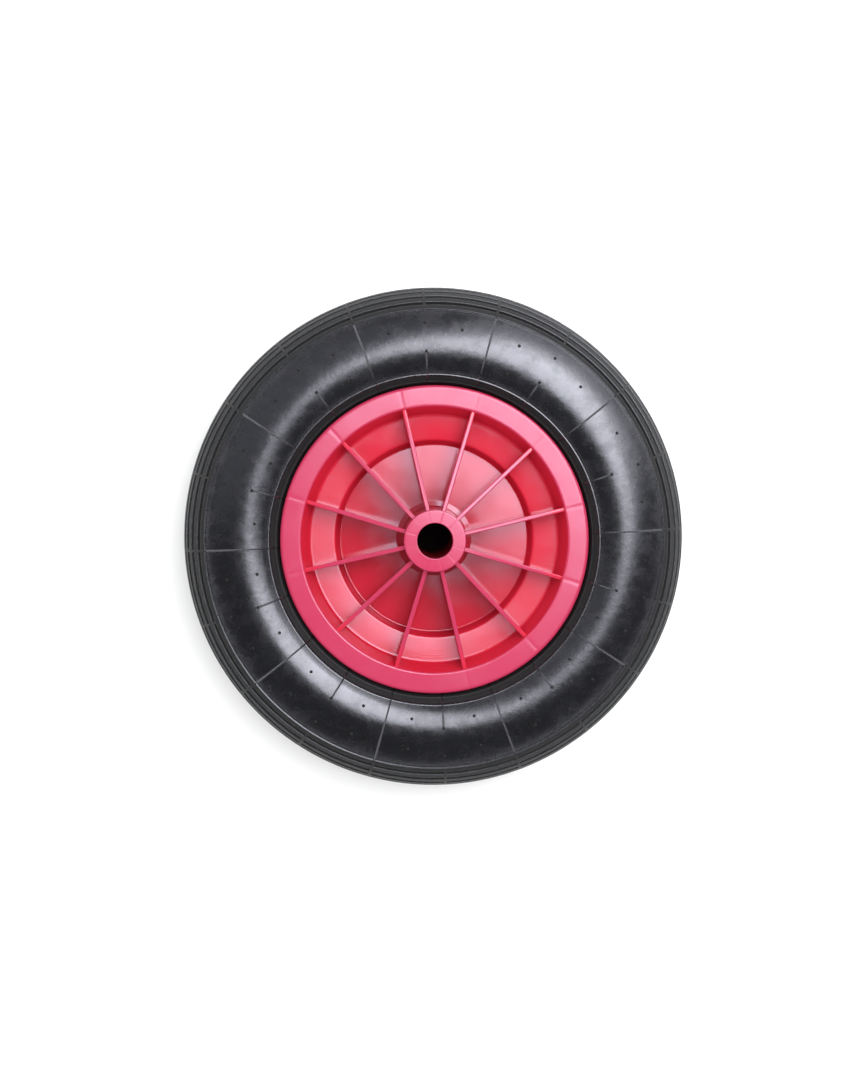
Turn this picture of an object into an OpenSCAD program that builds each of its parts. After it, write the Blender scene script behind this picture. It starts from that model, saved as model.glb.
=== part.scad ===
// Pneumatic trolley wheel: a one-piece moulded plastic rim with ribs and a plain bore,
// a ribbed rubber tyre, and an inner tube with its valve.
// The axle runs along Z, the centre of the wheel is at the origin, and +Z is the outer face.

/* [Tyre] */
// Outside diameter over the tread
tyre_d = 360; // [350:1:375]
// Width of the inflated tyre at its widest
tyre_w = 88; // [84:1:92]
// Rubber thickness under the tread grooves
crown_wall = 7; // [4:0.5:9]
// Rubber thickness at the sidewall
side_wall = 4.5; // [3:0.5:6]
// Height of the tread ribs
tread_h = 2.4; // [1:0.2:3]
// Width of a tread rib at its top
tread_rib_w = 3.8; // [2.5:0.1:4.2]
// Distance between tread ribs, along the curve of the crown
tread_pitch = 6.9; // [6.5:0.1:7.2]
// Tread ribs on each side of the middle groove
tread_side_ribs = 6; // [4:1:6]
// Height of the last tread rib above the sidewall
shoulder_h = 0.9; // [0.4:0.1:1]
// Height of the moulded lines above the rim flange
bead_line_h = 0.7; // [0.3:0.1:1]

/* [Rim] */
// Diameter of the seats that the tyre beads sit on
seat_d = 203.2; // [201:0.2:205]
// Width over the two flanges
rim_w = 68; // [66:1:72]
// Height of the flanges above the bead seats
flange_h = 7.2; // [6:0.2:9]
// Thickness of the flanges
flange_t = 4.5; // [3.5:0.5:5]
// Width of the bead seats
seat_w = 9; // [8.6:0.1:9.4]
// Width of the ring on each face
ring_w = 14.6; // [12:0.2:16]
// How much lower the ring is at its inner edge
ring_fall = 1; // [0:0.1:1.6]
// Depth of the well below the bead seats
well_h = 7.2; // [5:0.2:8]
// Width of the flat bottom of the well
well_w = 30; // [29:0.5:31]
// Wall between the well and the dished faces
barrel_t = 5.2; // [4:0.2:6]
// Thickness of the web plate
web_t = 4; // [3:0.5:4]
// Height of the outer step of the web above the middle plane
step_z = 14; // [12:0.5:16]
// Height of the inner disc of the web above the middle plane
disc_z = 5; // [5:0.5:7]
// Radius at the top edge of the step
step_r = 70.6; // [67:0.2:74]
// How much the outer part of the web rises towards the ring
web_rise = 2; // [0:0.2:2.4]
// How much the disc dishes from the step down to the hub
disc_fall = 1.4; // [0:0.2:2]
// Ribs on each face
rib_count = 12; // [8:1:14]
// Thickness of a rib
rib_t = 3; // [2:0.2:4]
// How far the rib tops lie below the flat ring
rib_drop = 3; // [2:0.5:5]

/* [Hub] */
// Bore for the axle
bore_d = 25; // [20:0.5:27]
// Length of the hub
hub_l = 90; // [88:1:100]
// Outside diameter of the hub at its ends
hub_d = 43.2; // [40:0.4:48]
// How far the rib tops lie below the end of the hub
hub_rise = 5; // [3:0.5:8]

/* [Inner tube and valve] */
// Rubber thickness of the inner tube
tube_t = 1.6; // [1:0.2:2.4]
// Diameter of the rubber part of the valve where it passes the rim
stem_d = 11.2; // [10:0.2:12.2]
// Length of the valve from the well to its mouth
stem_l = 38; // [34:1:42]
// Length of the bare threaded end of the valve
thread_l = 13; // [12:0.5:14]
// Diameter over the valve thread
thread_d = 7.7; // [7.2:0.1:8]
// Outside diameter of the valve cap
cap_d = 9.8; // [9.4:0.2:11]
// Length of the valve cap
cap_l = 11; // [9:0.5:12]
// How far the valve pin can be pressed in
pin_travel = 1.2; // [0.8:0.1:1.5]

/* [Hidden] */
$fn = 96;

// Clearances
seat_gap = 0.15;      // between the beads and the rim
tube_gap = 0.25;      // between the inner tube and what it presses on
fit_gap = 0.05;       // radial, between the small valve pieces
face_gap = 0.02;      // between faces that seat on each other

tyre_r = tyre_d / 2;
half_w = tyre_w / 2;
seat_r = seat_d / 2;
flange_r = seat_r + flange_h;
half_rim = rim_w / 2;
flange_in_z = half_rim - flange_t;
ring_r = flange_r - ring_w;
well_r = seat_r - well_h;
bore_r = bore_d / 2;
hub_r = hub_d / 2;
half_hub = hub_l / 2;

// A point with a corner radius: [r, z, radius]. Corners become arcs of corner_steps chords.
corner_steps = 5;
function unit2(v) = v / norm(v);
function corner_arc(a, b, c, rad) =
    let (u = unit2(a - b), v = unit2(c - b), half = acos(u * v) / 2)
    rad < 0.01 || half > 89.5 ? [b] :
    let (
        reach = min(rad / tan(half), norm(a - b) * 0.49, norm(c - b) * 0.49),
        true_rad = reach * tan(half),
        centre = b + unit2(u + v) * (true_rad / sin(half)),
        start = b + u * reach - centre,
        stop = b + v * reach - centre,
        turn = 180 - 2 * half,
        way = (start.x * stop.y - start.y * stop.x) > 0 ? 1 : -1
    )
    [for (i = [0 : corner_steps]) let (t = way * turn * i / corner_steps)
        centre + [start.x * cos(t) - start.y * sin(t), start.x * sin(t) + start.y * cos(t)]];
function rounded(pts) = let (n = len(pts))
    [for (i = [0 : n - 1])
        let (a = pts[(i + n - 1) % n], b = pts[i], c = pts[(i + 1) % n])
        each corner_arc([a.x, a.y], [b.x, b.y], [c.x, c.y], b.z)];

function flip_z(pts) = [for (i = [len(pts) - 1 : -1 : 0]) [pts[i].x, -pts[i].y]];
function bezier(a, b, c, d, t) =
    pow(1 - t, 3) * a + 3 * t * pow(1 - t, 2) * b + 3 * t * t * (1 - t) * c + t * t * t * d;

// Rim

// The faces slope inwards from the flat ring to the floor of the dish.
dish_r = well_r - barrel_t;
back_step = barrel_t + 0.6;
disc_back_z = disc_z - web_t;
step_run = 2.8;
step_low_r = step_r - step_run;
hub_base_r = hub_r + 1.5;
foot_w = 4;
foot_h = 1.3;
edge_r = 1.4;
step_edge_r = 1.8;
back_run = web_t * 0.9;
hub_disc_z = disc_z - disc_fall;
hub_disc_back_z = disc_back_z - disc_fall;
ring_low_z = half_rim - ring_fall;
inner_step_z = step_z - web_rise / 2;
outer_step_z = step_z + web_rise / 2;

function rim_section() = rounded([
    [bore_r, half_hub, 0.4],
    [hub_r, half_hub, 0.8],
    [hub_base_r, hub_disc_z + foot_h, 0.6],
    [hub_base_r + foot_w, hub_disc_z, 1],
    [step_low_r, disc_z, 1],
    [step_r, inner_step_z, step_edge_r],
    [dish_r, outer_step_z, 2],
    [ring_r, ring_low_z, edge_r],
    [flange_r, half_rim, 2],
    [flange_r, flange_in_z, 1.2],
    [seat_r, flange_in_z, 1.5],
    [seat_r - 0.6, flange_in_z - seat_w, 2.5],
    [well_r, well_w / 2, 2.5],
    [well_r, -well_w / 2, 2.5],
    [seat_r - 0.6, seat_w - flange_in_z, 2.5],
    [seat_r, -flange_in_z, 1.5],
    [flange_r, -flange_in_z, 1.2],
    [flange_r, -half_rim, 2],
    [ring_r, -ring_low_z, edge_r],
    [well_r - back_step, outer_step_z - web_t, 2],
    [step_r + back_run, inner_step_z - web_t, 1.2],
    [step_low_r + back_run, disc_back_z, edge_r],
    [hub_base_r + foot_w, hub_disc_back_z, 1],
    [hub_base_r, hub_disc_back_z - foot_h, 0.6],
    [hub_r, -half_hub, 0.8],
    [bore_r, -half_hub, 0.4]
]);

// A rib is a plate that ends inside the hub, the web and the barrel.
rib_root = 2;
rib_top_z = half_rim - rib_drop;
rib_hub_z = half_hub - hub_rise;
function rib_front() = [
    [hub_r - rib_root, hub_disc_z - rib_root],
    [step_low_r, disc_z - rib_root],
    [step_r, inner_step_z - rib_root],
    [dish_r + rib_root, outer_step_z - rib_root],
    [ring_r + rib_root * 0.6, rib_top_z],
    [hub_r - rib_root, rib_hub_z]
];
function rib_back() = [
    [hub_r - rib_root, hub_disc_back_z + rib_root],
    [step_low_r + back_run, disc_back_z + rib_root],
    [step_r + back_run, inner_step_z - web_t + rib_root],
    [well_r - back_step + rib_root, outer_step_z - web_t + rib_root],
    [ring_r + rib_root * 0.6, -rib_top_z],
    [hub_r - rib_root, -rib_hub_z]
];

module rib_plate(outline) {
    rotate([90, 0, 0])
        linear_extrude(height = rib_t, center = true)
            polygon(outline);
}

// The valve comes out of the well on the back, midway between two ribs.
valve_angle = -90;
valve_z = -5;
hole_margin = 2;
hole_gap = 0.3;
module at_valve(s = 0) {
    rotate([0, 0, valve_angle])
        translate([s, 0, valve_z])
            rotate([0, -90, 0])
                children();
}

module rim() {
    color("#e8304a")
    difference() {
        union() {
            rotate_extrude()
                polygon(rim_section());
            for (i = [0 : rib_count - 1]) {
                rotate([0, 0, (i + 0.5) * 360 / rib_count]) {
                    rib_plate(rib_front());
                    rib_plate(rib_back());
                }
            }
        }
        at_valve(well_r + hole_margin)
            cylinder(h = back_step + 3 * hole_margin, d = stem_d + 2 * hole_gap);
    }
}

// Tyre

widest_r = seat_r + 0.44 * (tyre_r - seat_r);
base_a = tyre_r - widest_r - tread_h;
function on_ellipse(a, b, t) = [widest_r + a * cos(t), b * sin(t)];
function out_normal(a, b, t) = unit2([cos(t) / a, sin(t) / b]);
function tread_point(t, h) = on_ellipse(base_a, half_w, t) + h * out_normal(base_a, half_w, t);

// Angles on the section, from the middle of the tread
tread_step = tread_pitch / base_a * 180 / PI;
half_top = tread_rib_w / 2 / base_a * 180 / PI;
flank_lean = 0.3 / base_a * 180 / PI;
half_foot = half_top + tread_h * flank_lean;
tread_end = (tread_side_ribs - 0.5) * tread_step;
side_stop = 112;
side_chords = 16;

function tread_rib(t, foot = 0) = [
    tread_point(t - half_foot, 0),
    tread_point(t - half_top, tread_h),
    tread_point(t + half_top, tread_h),
    tread_point(t + half_top + (tread_h - foot) * flank_lean, foot)
];

// Past the last rib the sidewall starts high and falls to the ellipse.
side_from = tread_end + half_top + shoulder_h * flank_lean;
side_lift = tread_h - shoulder_h;
side_run = 24;
function side_point(t) =
    tread_point(t, side_lift * pow(1 - min(1, (t - side_from) / side_run), 2));

// The lower sidewall curves in behind the flange. Two raised lines run round it.
bead_face_z = flange_in_z - seat_gap;
lower_from = on_ellipse(base_a, half_w, side_stop);
lower_to = [flange_r + 0.5, flange_in_z + 0.3];
lower_chords = 10;
function lower_point(t) = bezier(lower_from, lower_from + [-4.5, -2.2],
    lower_to + [1.5, 5], lower_to, t);
function lower_normal(t) = let (d = lower_point(t + 0.01) - lower_point(t - 0.01))
    unit2([-abs(d.y), abs(d.x)]);
function raised_line(t) = [
    lower_point(t - 0.045),
    lower_point(t - 0.012) + bead_line_h * lower_normal(t),
    lower_point(t + 0.012) + bead_line_h * lower_normal(t),
    lower_point(t + 0.045)
];
line_at = [0.34, 0.7];
function clear_of_lines(t) = abs(t - line_at[0]) > 0.06 && abs(t - line_at[1]) > 0.06;

bead_side_gap = 0.2;
bead_w = seat_w - bead_side_gap;
toe_z = bead_face_z - bead_w;
bead_h = flange_h - 0.6;

function tyre_outside() = concat(
    [for (k = [1 : tread_side_ribs - 1]) each tread_rib((k - 0.5) * tread_step)],
    tread_rib(tread_end, side_lift),
    [for (i = [1 : side_chords]) side_point(side_from + (side_stop - side_from) * i / side_chords)],
    [for (i = [1 : 3]) lower_point(i / 3 * (line_at[0] - 0.06))],
    raised_line(line_at[0]),
    [for (i = [1 : 3]) lower_point(line_at[0] + 0.06 + i / 4 * (line_at[1] - line_at[0] - 0.12))],
    raised_line(line_at[1]),
    [for (i = [1 : 3]) lower_point(line_at[1] + 0.06 + i / 3 * (0.94 - line_at[1]))],
    [lower_to]
);
function bead_outline() = [
    [flange_r - 0.2, bead_face_z],
    [seat_r + 2, bead_face_z],
    [seat_r + seat_gap + 0.3, bead_face_z - 1.6],
    [seat_r + seat_gap, toe_z + 1],
    [seat_r + seat_gap + 0.8, toe_z],
    [seat_r + bead_h, toe_z + 1.8]
];
inner_a = base_a - crown_wall;
inner_w = half_w - side_wall;
inner_stop = 118;
inner_chords = 18;
inner_from = on_ellipse(inner_a, inner_w, inner_stop);
inner_to = [seat_r + bead_h, toe_z + 1.8];
function inner_curve(inset) = concat(
    [for (i = [inner_chords : -1 : 0])
        on_ellipse(inner_a - inset, inner_w - inset, inner_stop * i / inner_chords)]
);
function inner_neck(inset, n) = [for (i = [1 : n])
    bezier(inner_to - [0, inset], inner_to + [3, 0.8 - inset],
        inner_from + [-2.5, -2.6 - inset], on_ellipse(inner_a - inset, inner_w - inset, inner_stop),
        i / (n + 1))];

function tyre_half() = concat(tyre_outside(), bead_outline(), inner_neck(0, 4), inner_curve(0));

module tyre() {
    color("#1f2023")
    rotate_extrude()
        polygon(concat(tyre_half(), flip_z(tyre_half())));
}

// Inner tube

// Half of the tube's section, from its floor in the well to its crown, inset by the rubber.
floor_r = well_r + tube_gap;
function tube_half(inset) = concat(
    rounded([
        [floor_r + inset, 0, 0],
        [floor_r + inset, well_w / 2 - 1.2 - inset * 0.5, 2],
        [seat_r - 0.2 + inset * 0.6, toe_z - 0.9 - inset, 2],
        [seat_r + bead_h + 1, toe_z + 0.9 - inset, 2],
        [inner_from.x + 2, inner_from.y - 0.4 - tube_gap * 2 - inset, 0],
        [inner_from.x, 0, 0]
    ])
);
function tube_neck(inset) = let (all = tube_half(inset))
    [for (p = all) if (p.y > 0.01 && p.x < inner_from.x + 1) p];
function tube_section(inset) = let (
        up = concat(
            [[floor_r + inset, 0]],
            tube_neck(inset),
            [for (i = [0 : inner_chords]) on_ellipse(
                inner_a - tube_gap - inset, inner_w - tube_gap - inset,
                (inner_stop - 3) * (1 - i / inner_chords))]
        )
    )
    concat(up, flip_z([for (i = [1 : len(up) - 2]) up[i]]));

// A round pad at the foot of the valve fills a hole in the tube.
pad_d = 18;
pad_cut = 6;
module inner_tube() {
    color("#2a2a2c")
    difference() {
        rotate_extrude()
            difference() {
                polygon(tube_section(0));
                polygon(tube_section(tube_t));
            }
        at_valve(floor_r + pad_cut)
            cylinder(h = 2 * pad_cut, d = pad_d + 2 * fit_gap);
    }
}

// Valve

mouth_s = well_r - stem_l;
thread_end_s = mouth_s + thread_l;
brass_end_s = well_r - 4;
brass_root_d = 6.2;
plug_d = 5.2;
plug_l = 4.4;
plug_s = mouth_s + 0.8;
seat_s = plug_s + plug_l + 1.2;
gasket_s = seat_s + 1.2;
chamber_d = 4.4;
air_d = 2.6;
barrel_d = 3.6;
barrel_bore_d = 2.7;
barrel_l = 9.5;
barrel_s = plug_s + plug_l + face_gap;
throat_d = 1.5;
throat_l = 1.2;
pin_d = 1;
gasket_l = 3;

// A turned piece along the valve: pairs of [distance from the axle, radius]. The valve's own
// axis points at the axle, so the first point lies nearest to the tyre.
module turned(profile) {
    at_valve(0)
        rotate_extrude()
            polygon([for (p = profile) [p[1], -p[0]]]);
}

// The boot swells from its tip over a tapered shank to where it passes the rim.
boot_tip_r = 4.2;
boot_lip_r = 4.7;
boot_lip_l = 1.2;
boot_taper_l = 14;
boot_shank_r = stem_d / 2 - 0.2;
boot_foot_s = floor_r + tube_t - 0.4;
boot_bore_r = brass_root_d / 2 + fit_gap;
module valve_stem_rubber() {
    color("#242425")
    difference() {
        union() {
            turned([
                [thread_end_s, boot_bore_r], [thread_end_s, boot_tip_r],
                [thread_end_s + boot_lip_l, boot_lip_r], [thread_end_s + boot_taper_l, boot_shank_r],
                [well_r - back_step - 0.4, stem_d / 2], [boot_foot_s, stem_d / 2],
                [boot_foot_s, boot_bore_r]
            ]);
            intersection() {
                rotate_extrude()
                    translate([floor_r, valve_z - pad_d / 2])
                        square([tube_t, pad_d]);
                at_valve(floor_r + pad_cut)
                    cylinder(h = 2 * pad_cut, d = pad_d);
            }
        }
        at_valve(floor_r + pad_cut)
            cylinder(h = pad_cut + floor_r - brass_end_s, d = air_d);
        at_valve(brass_end_s + face_gap)
            cylinder(h = stem_l, d = brass_root_d + 2 * fit_gap);
    }
}

module valve_stem_tube() {
    color("#b89a55")
    turned([
        [mouth_s, plug_d / 2 + fit_gap], [mouth_s, thread_d / 2 - 0.5],
        [mouth_s + 0.5, thread_d / 2], [thread_end_s - face_gap, thread_d / 2],
        [thread_end_s - face_gap, brass_root_d / 2], [brass_end_s, brass_root_d / 2],
        [brass_end_s, air_d / 2], [chamber_end_s + 1, air_d / 2],
        [chamber_end_s, chamber_d / 2], [gasket_s, chamber_d / 2],
        [seat_s, plug_d / 2 + fit_gap]
    ]);
}

module valve_core_plug() {
    color("#c2a45c")
    difference() {
        turned([
            [plug_s, 1.1], [plug_s, plug_d / 2 - 0.3], [plug_s + 0.3, plug_d / 2],
            [plug_s + plug_l, plug_d / 2], [plug_s + plug_l, 1.1]
        ]);
        for (side = [-1, 1])
            at_valve(plug_s + 1.8)
                translate([-plug_d / 2, side * 2.4 - 0.6, 0])
                    cube([plug_d, 1.2, 3]);
    }
}

module valve_core_barrel() {
    color("#c2a45c")
    turned([
        [barrel_s, 1.1], [barrel_s, barrel_d / 2], [barrel_s + barrel_l, barrel_d / 2],
        [barrel_s + barrel_l, throat_d / 2], [barrel_s + barrel_l - throat_l, throat_d / 2],
        [barrel_s + barrel_l - throat_l, barrel_bore_d / 2], [barrel_s + 0.8, barrel_bore_d / 2],
        [barrel_s + 0.8, 1.1]
    ]);
}

module valve_core_gasket() {
    color("#8c2a22")
    turned([
        [gasket_s, barrel_d / 2 + face_gap], [gasket_s, chamber_d / 2 - face_gap],
        [gasket_s + gasket_l, chamber_d / 2 - face_gap], [gasket_s + gasket_l, barrel_d / 2 + face_gap]
    ]);
}

collar_s = barrel_s + 1.2;
seal_s = barrel_s + barrel_l + face_gap;
seal_l = 2.4;
tail_l = 0.7;
tail_room = 1;
tail_s = seal_s + seal_l + tail_l;
// The chamber behind the core lets the pin's tail move by its whole travel.
chamber_end_s = tail_s + pin_travel + tail_room;
module valve_core_pin() {
    color("#c9ac66")
    turned([
        [mouth_s + 0.2, 0], [mouth_s + 0.2, 0.7], [mouth_s + 0.5, 0.85], [mouth_s + 1, 0.85],
        [mouth_s + 1.2, pin_d / 2], [collar_s, pin_d / 2], [collar_s, 1.1], [collar_s + 0.5, 1.1],
        [collar_s + 0.5, pin_d / 2], [seal_s + seal_l + face_gap, pin_d / 2],
        [seal_s + seal_l + face_gap, 0.95], [tail_s, 0.95], [tail_s, 0]
    ]);
}

module valve_core_seal() {
    color("#1c1c1c")
    turned([
        [seal_s, pin_d / 2 + face_gap], [seal_s, 1.45], [seal_s + 0.6, 1.7],
        [seal_s + seal_l, 1.7], [seal_s + seal_l, pin_d / 2 + face_gap]
    ]);
}

spring_wire_d = 0.32;
spring_d = 2;
spring_turns = 6;
spring_from = collar_s + 0.5 + spring_wire_d / 2 + face_gap;
spring_to = barrel_s + barrel_l - throat_l - spring_wire_d / 2 - face_gap;
spring_sides = 6;
spring_steps = 14;
function spring_ring(i) = let (
        turn = 360 * i / spring_steps,
        s = spring_from + (spring_to - spring_from) * i / (spring_steps * spring_turns)
    )
    [for (k = [0 : spring_sides - 1]) let (
            a = 360 * k / spring_sides,
            r = spring_d / 2 + spring_wire_d / 2 * cos(a)
        )
        [r * cos(turn), r * sin(turn), -s + spring_wire_d / 2 * sin(a)]];
module valve_core_spring() {
    rings = spring_steps * spring_turns;
    n = spring_sides;
    color("#c8ccd0")
    at_valve(0)
        polyhedron(
            points = [for (i = [0 : rings]) each spring_ring(i)],
            faces = concat(
                [[for (k = [0 : n - 1]) k]],
                [for (i = [0 : rings - 1]) for (k = [0 : n - 1])
                    [i * n + k, (i + 1) * n + k, (i + 1) * n + (k + 1) % n, i * n + (k + 1) % n]],
                [[for (k = [n - 1 : -1 : 0]) rings * n + k]]
            )
        );
}

cap_top_t = 1.4;
cap_seal_t = 0.8;
cap_s = mouth_s - cap_top_t - cap_seal_t - 2 * face_gap;
cap_flutes = 16;
module valve_cap() {
    color("#1a1a1b")
    difference() {
        turned([
            [cap_s, 0], [cap_s, cap_d / 2 - 1], [cap_s + 0.8, cap_d / 2 - 0.2],
            [cap_s + cap_l, cap_d / 2], [cap_s + cap_l, thread_d / 2 + fit_gap],
            [cap_s + cap_top_t, thread_d / 2 + fit_gap], [cap_s + cap_top_t, 0]
        ]);
        for (i = [0 : cap_flutes - 1])
            at_valve(cap_s + cap_l + 0.5)
                rotate([0, 0, i * 360 / cap_flutes])
                    translate([cap_d / 2 + 0.15, 0, 0])
                        cylinder(h = cap_l - 1.5, d = 1, $fn = 24);
    }
}

module valve_cap_seal() {
    color("#3a3a3a")
    turned([
        [cap_s + cap_top_t + face_gap, 1.5], [cap_s + cap_top_t + face_gap, thread_d / 2 - 0.1],
        [cap_s + cap_top_t + face_gap + cap_seal_t, thread_d / 2 - 0.1],
        [cap_s + cap_top_t + face_gap + cap_seal_t, 1.5]
    ]);
}

rim();
tyre();
inner_tube();
valve_stem_rubber();
valve_stem_tube();
valve_core_plug();
valve_core_barrel();
valve_core_gasket();
valve_core_spring();
valve_core_pin();
valve_core_seal();
valve_cap();
valve_cap_seal();
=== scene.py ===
"""Looks of the pneumatic trolley wheel: the moulded rim, the ribbed tyre, the valve, their finishes and the studio."""

import math

import bmesh
import bpy
from mathutils import Matrix, Vector


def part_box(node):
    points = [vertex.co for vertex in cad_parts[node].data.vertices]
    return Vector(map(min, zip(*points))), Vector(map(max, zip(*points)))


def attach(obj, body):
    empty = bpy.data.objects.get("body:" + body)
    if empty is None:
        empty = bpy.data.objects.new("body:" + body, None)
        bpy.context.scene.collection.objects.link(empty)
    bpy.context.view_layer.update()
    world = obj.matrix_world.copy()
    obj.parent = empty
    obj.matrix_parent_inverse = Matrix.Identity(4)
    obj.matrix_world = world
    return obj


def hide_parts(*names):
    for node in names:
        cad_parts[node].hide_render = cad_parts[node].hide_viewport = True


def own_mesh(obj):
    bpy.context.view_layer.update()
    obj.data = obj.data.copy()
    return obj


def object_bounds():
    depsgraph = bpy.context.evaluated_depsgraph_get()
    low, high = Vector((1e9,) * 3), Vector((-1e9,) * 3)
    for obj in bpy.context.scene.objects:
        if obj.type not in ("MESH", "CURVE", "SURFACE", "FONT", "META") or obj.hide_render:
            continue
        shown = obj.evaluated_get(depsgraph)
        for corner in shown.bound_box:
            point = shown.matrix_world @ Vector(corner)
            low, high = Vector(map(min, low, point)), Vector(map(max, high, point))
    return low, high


bl_info = {
    "name": "Trolley Wheel",
    "version": (1, 0, 0),
    "blender": (4, 5, 0),
    "location": "3D View > Sidebar > Wheel",
    "description": "Models and finishes a pneumatic trolley wheel lying on a studio floor",
    "category": "Add Mesh",
}

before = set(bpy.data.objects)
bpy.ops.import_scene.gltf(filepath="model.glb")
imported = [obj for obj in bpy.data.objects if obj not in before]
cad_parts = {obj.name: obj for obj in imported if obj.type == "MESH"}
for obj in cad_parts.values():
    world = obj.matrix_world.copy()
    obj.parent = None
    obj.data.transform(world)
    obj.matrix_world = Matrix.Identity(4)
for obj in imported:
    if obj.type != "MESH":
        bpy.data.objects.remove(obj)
cad_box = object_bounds()

MM = 0.001
OUTER, INNER = 1, -1  # the two faces of the wheel, along the axle


def metres(value_mm):
    return value_mm * MM


# ---- sizes and colours that a user would change


class WheelRimSettings(bpy.types.PropertyGroup):
    hub_radius: bpy.props.FloatProperty(
        name="Hub radius", description="Outside radius of the hub at its ends", default=metres(21.6), unit="LENGTH"
    )
    seat_radius: bpy.props.FloatProperty(
        name="Bead seat radius", description="Radius of the seats under the tyre beads", default=metres(101.6), unit="LENGTH"
    )
    rib_count: bpy.props.IntProperty(name="Ribs", description="Ribs on each face of the rim", default=12, min=3)
    rib_thickness: bpy.props.FloatProperty(
        name="Rib thickness", description="Thickness of a rib", default=metres(3.0), unit="LENGTH"
    )
    edge_round: bpy.props.FloatProperty(
        name="Edge rounding", description="Radius on the tops of the ribs", default=metres(0.8), unit="LENGTH"
    )
    sink_depth: bpy.props.FloatProperty(
        name="Sink depth", description="Depth of the sink lines over the ribs' roots", default=metres(0.05), unit="LENGTH"
    )
    colour: bpy.props.FloatVectorProperty(
        name="Colour", description="Colour of the rim's plastic", subtype="COLOR", size=3, default=(0.52, 0.015, 0.036)
    )
    roughness: bpy.props.FloatProperty(
        name="Roughness", description="Roughness of the moulded skin", default=0.1, min=0.0, max=1.0, subtype="FACTOR"
    )


class WheelTyreSettings(bpy.types.PropertyGroup):
    radius: bpy.props.FloatProperty(
        name="Radius", description="Outside radius over the tread", default=metres(180.0), unit="LENGTH"
    )
    half_width: bpy.props.FloatProperty(
        name="Half width", description="Half of the tyre's width", default=metres(44.0), unit="LENGTH"
    )
    line_count: bpy.props.IntProperty(
        name="Mould lines", description="Fine lines across each sidewall", default=20, min=2
    )
    line_height: bpy.props.FloatProperty(
        name="Line height", description="Height of the fine mould lines", default=metres(0.55), unit="LENGTH"
    )
    pip_radius: bpy.props.FloatProperty(
        name="Pip radius", description="Radius of the trimmed vent pips", default=metres(1.15), unit="LENGTH"
    )
    roughness: bpy.props.FloatProperty(
        name="Roughness", description="Roughness of the rubber", default=0.22, min=0.0, max=1.0, subtype="FACTOR"
    )


class WheelStageSettings(bpy.types.PropertyGroup):
    camera_distance: bpy.props.FloatProperty(
        name="Camera distance", description="From the wheel's centre", default=1.1, unit="LENGTH"
    )
    camera_tilt: bpy.props.FloatProperty(
        name="Camera tilt", description="How far the camera leans off the axle", default=math.radians(3.0), subtype="ANGLE"
    )
    camera_roll: bpy.props.FloatProperty(
        name="Camera roll", description="Turn of the picture about the axle", default=math.radians(1.8), subtype="ANGLE"
    )
    key_power: bpy.props.FloatProperty(
        name="Key light", description="Power of the big soft light", default=14.0, subtype="POWER"
    )
    sky_strength: bpy.props.FloatProperty(
        name="Room seen", description="How bright the room shows in glossy faces", default=0.09, min=0.0
    )
    fill_strength: bpy.props.FloatProperty(
        name="Room light", description="Strength of the light from all round", default=1.25, min=0.0
    )


# ---- the section of the wheel, in millimetres, as (radius, height) points


def unit(v):
    return v / v.length if v.length else v


def soften(points, steps=6):
    """Rounds the corners of a closed outline of (radius, height, corner radius) points."""
    out = []
    n = len(points)
    for i in range(n):
        a, b, c = (Vector(points[j % n][:2]) for j in (i - 1, i, i + 1))
        rad = points[i][2]
        u, v = unit(a - b), unit(c - b)
        half = math.acos(max(-1.0, min(1.0, u.dot(v)))) / 2
        if rad < 0.01 or half > math.radians(89.5):
            out.append(b)
            continue
        reach = min(rad / math.tan(half), (a - b).length * 0.49, (c - b).length * 0.49)
        true_rad = reach * math.tan(half)
        centre = b + unit(u + v) * (true_rad / math.sin(half))
        start, stop = b + u * reach - centre, b + v * reach - centre
        turn = math.pi - 2 * half
        way = 1 if start.x * stop.y - start.y * stop.x > 0 else -1
        for k in range(steps + 1):
            t = way * turn * k / steps
            out.append(
                centre
                + Vector(
                    (start.x * math.cos(t) - start.y * math.sin(t), start.x * math.sin(t) + start.y * math.cos(t))
                )
            )
    # a point near each end of a long run keeps the shading of its face flat
    held = []
    for a, b in zip(out, out[1:] + out[:1]):
        held.append(a)
        if (b - a).length > 2:
            held += [a + unit(b - a) * 0.3, b - unit(b - a) * 0.3]
    return held


def rim_outline(rim):
    """The rim's section, the same corners as its solid's, with finer rounding."""
    hub, seat = rim.hub_radius / MM, rim.seat_radius / MM
    flange, well, base = seat + 7.2, seat - 7.2, hub + 1.5
    ring, dish, back = flange - 14.6, well - 5.2, well - 5.8
    # the hub's ends were faced on a lathe: fine rings 0.9 mm apart
    rings = [(13.5 + 0.4 * i, 45 - 0.03 * (i % 2), 0) for i in range(18)]
    return soften(
        [
            (12.5, 45, 0.3), *rings, (hub, 45, 0.7), (base, 5.1, 0.6), (base + 4, 4.1, 1), (67.8, 5, 1), (70.6, 13.2, 1.8),
            (dish, 14.7, 2), (ring, 33.2, 1.4), (flange, 34, 2.2), (flange, 29.5, 1.2), (seat, 29.5, 1.5),
            (seat - 0.6, 20.5, 2.5), (well, 15, 2.5), (well, -15, 2.5), (seat - 0.6, -20.5, 2.5), (seat, -29.5, 1.5),
            (flange, -29.5, 1.2), (flange, -34, 2.2), (ring, -33, 1.4), (back, 11, 2), (74.2, 9, 1.2),
            (71.4, 1, 1.4), (base + 4, -0.4, 1), (base, -1.7, 0.6), (hub, -45, 0.7),
            *[(r, -z, 0) for r, z, _ in reversed(rings)], (12.5, -45, 0.3),
        ]
    )


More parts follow.
